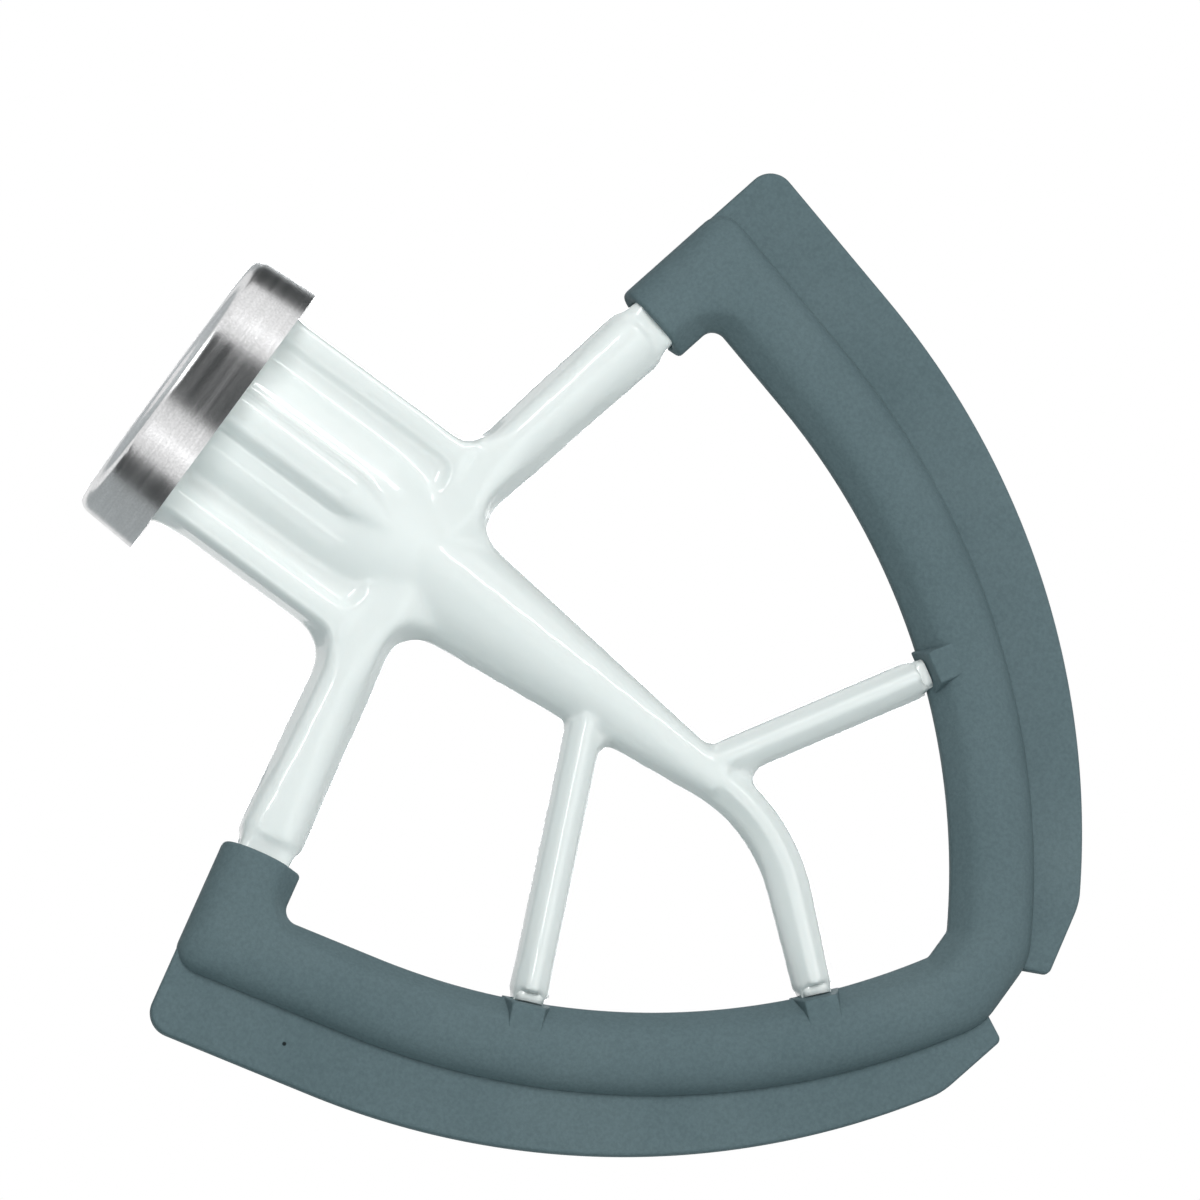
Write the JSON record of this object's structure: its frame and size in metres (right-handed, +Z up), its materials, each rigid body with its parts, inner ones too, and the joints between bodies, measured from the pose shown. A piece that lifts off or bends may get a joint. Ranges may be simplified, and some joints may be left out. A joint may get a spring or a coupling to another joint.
{
  "type": "stand mixer flat beater",
  "caption": "Flat beater for a tilt-head stand mixer: white-coated casting with hub, spine and ribs, steel hub cap and a soft grey wiper edge.",
  "frame": {"origin": "centre of the shaft bore's mouth, level with the top of the steel cap", "axes": "+Z up along the shaft towards the mixer, X across the flat beater, Y through its depth"},
  "size_m": [0.1398, 0.0412, 0.1383],
  "materials": {
    "white_coat": "glossy white coat over an aluminium casting",
    "soft_grey": "matte moulded silicone, slate grey",
    "brushed_cap": "drawn stainless steel, finely brushed round the wall"
  },
  "bodies": {
    "root": {"beater_frame": "white_coat", "silicone_edge": "soft_grey", "hub_collar": "brushed_cap"}
  },
  "joints": []
}
